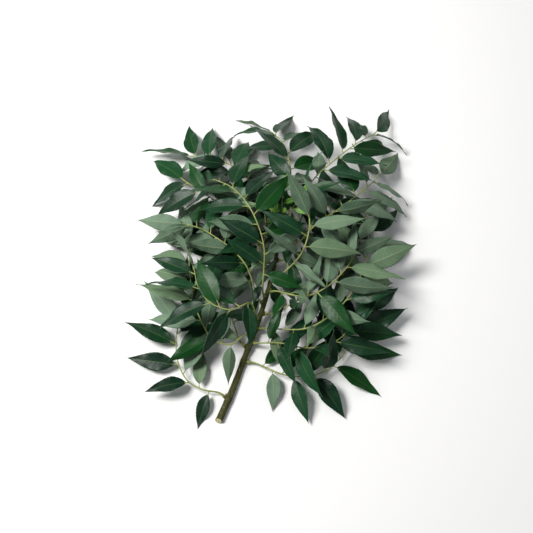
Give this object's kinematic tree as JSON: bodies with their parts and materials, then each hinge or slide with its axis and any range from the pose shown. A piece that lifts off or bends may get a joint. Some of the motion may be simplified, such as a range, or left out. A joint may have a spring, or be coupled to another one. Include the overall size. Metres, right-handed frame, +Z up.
{
  "type": "curry leaf sprig",
  "caption": "Cut curry leaf sprig lying on its side: a woody stem with arching fronds of pointed leaflets, dark above and pale beneath, and a young shoot at the tip.",
  "frame": {"origin": "under the centre of the sprig's bounding box, on the surface that it lies on", "axes": "+Z up from that surface, +Y along the stem from its cut end towards its young shoot, +X to the right of that"},
  "size_m": [0.3154, 0.3818, 0.0961],
  "materials": {
    "leaf": "satin dark green, paler and matte on the undersides",
    "young_leaf": "soft light green",
    "bark": "matte olive-brown bark with pale lenticels"
  },
  "bodies": {
    "root": {"stem": "bark", "frond_01": "leaf", "frond_02": "leaf", "frond_03": "leaf", "frond_04": "leaf", "frond_05": "leaf", "frond_06": "leaf", "frond_07": "leaf", "frond_08": "leaf", "frond_09": "leaf", "frond_10": "leaf", "frond_11": "leaf", "frond_12": "leaf", "frond_13": "leaf", "frond_14": "leaf", "frond_15": "leaf", "frond_16": "leaf", "frond_17": "leaf", "frond_18": "leaf", "young_shoot": "young_leaf"}
  },
  "joints": []
}
